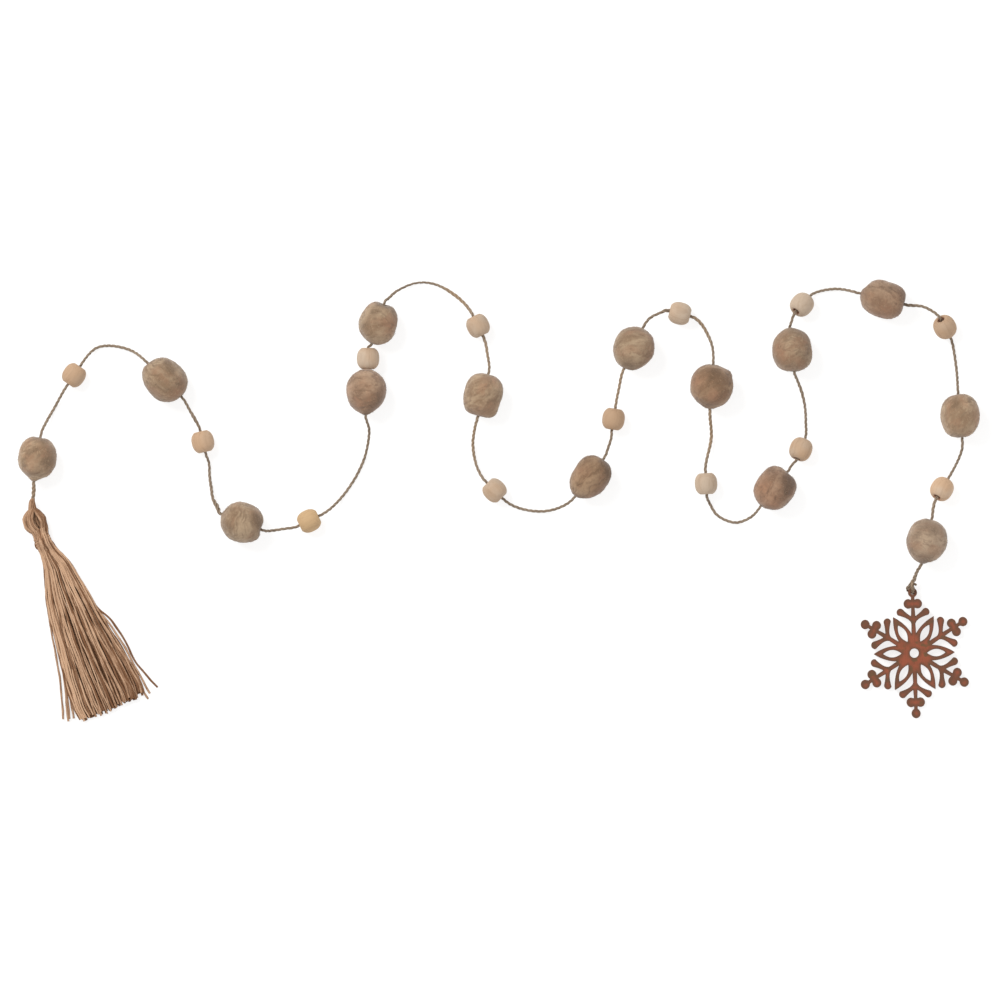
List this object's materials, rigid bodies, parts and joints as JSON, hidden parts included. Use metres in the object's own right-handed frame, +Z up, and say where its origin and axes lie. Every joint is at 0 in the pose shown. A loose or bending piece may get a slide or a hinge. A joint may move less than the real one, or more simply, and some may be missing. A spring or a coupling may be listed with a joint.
{
  "type": "snowflake and tassel garland of felt balls and wooden beads on jute twine",
  "caption": "Garland of wool felt balls and wooden beads strung in turn on jute twine, with a cut wooden snowflake at one end and a jute tassel at the other.",
  "frame": {"origin": "on the surface that the garland lies on, under the middle of everything but the twine and its tie", "axes": "+X from the tassel to the snowflake, +Y across the garland's waves away from the tassel's foot, +Z up from the surface"},
  "size_m": [0.6918, 0.3184, 0.0301],
  "materials": {
    "felt": "heathered oatmeal wool felt, needled and fuzzy",
    "wood_bead": "raw pale wood, sanded smooth",
    "twine": "plied jute twine with loose fibres",
    "tassel": "golden brown jute strands",
    "snowflake": "terracotta stain on cut board, scorched edges"
  },
  "bodies": {
    "root": {"felt_ball_01": "felt", "felt_ball_02": "felt", "felt_ball_03": "felt", "felt_ball_04": "felt", "felt_ball_05": "felt", "felt_ball_06": "felt", "felt_ball_07": "felt", "felt_ball_08": "felt", "felt_ball_09": "felt", "felt_ball_10": "felt", "felt_ball_11": "felt", "felt_ball_12": "felt", "felt_ball_13": "felt", "felt_ball_14": "felt", "wood_bead_01": "wood_bead", "wood_bead_02": "wood_bead", "wood_bead_03": "wood_bead", "wood_bead_04": "wood_bead", "wood_bead_05": "wood_bead", "wood_bead_06": "wood_bead", "wood_bead_07": "wood_bead", "wood_bead_08": "wood_bead", "wood_bead_09": "wood_bead", "wood_bead_10": "wood_bead", "wood_bead_11": "wood_bead", "wood_bead_12": "wood_bead", "wood_bead_13": "wood_bead", "twine": "twine", "snowflake": "snowflake", "snowflake_loop": "twine", "snowflake_knot": "twine", "tassel_bundle": "tassel", "tassel_wrap": "tassel", "tassel_hanger": "tassel"}
  },
  "joints": []
}
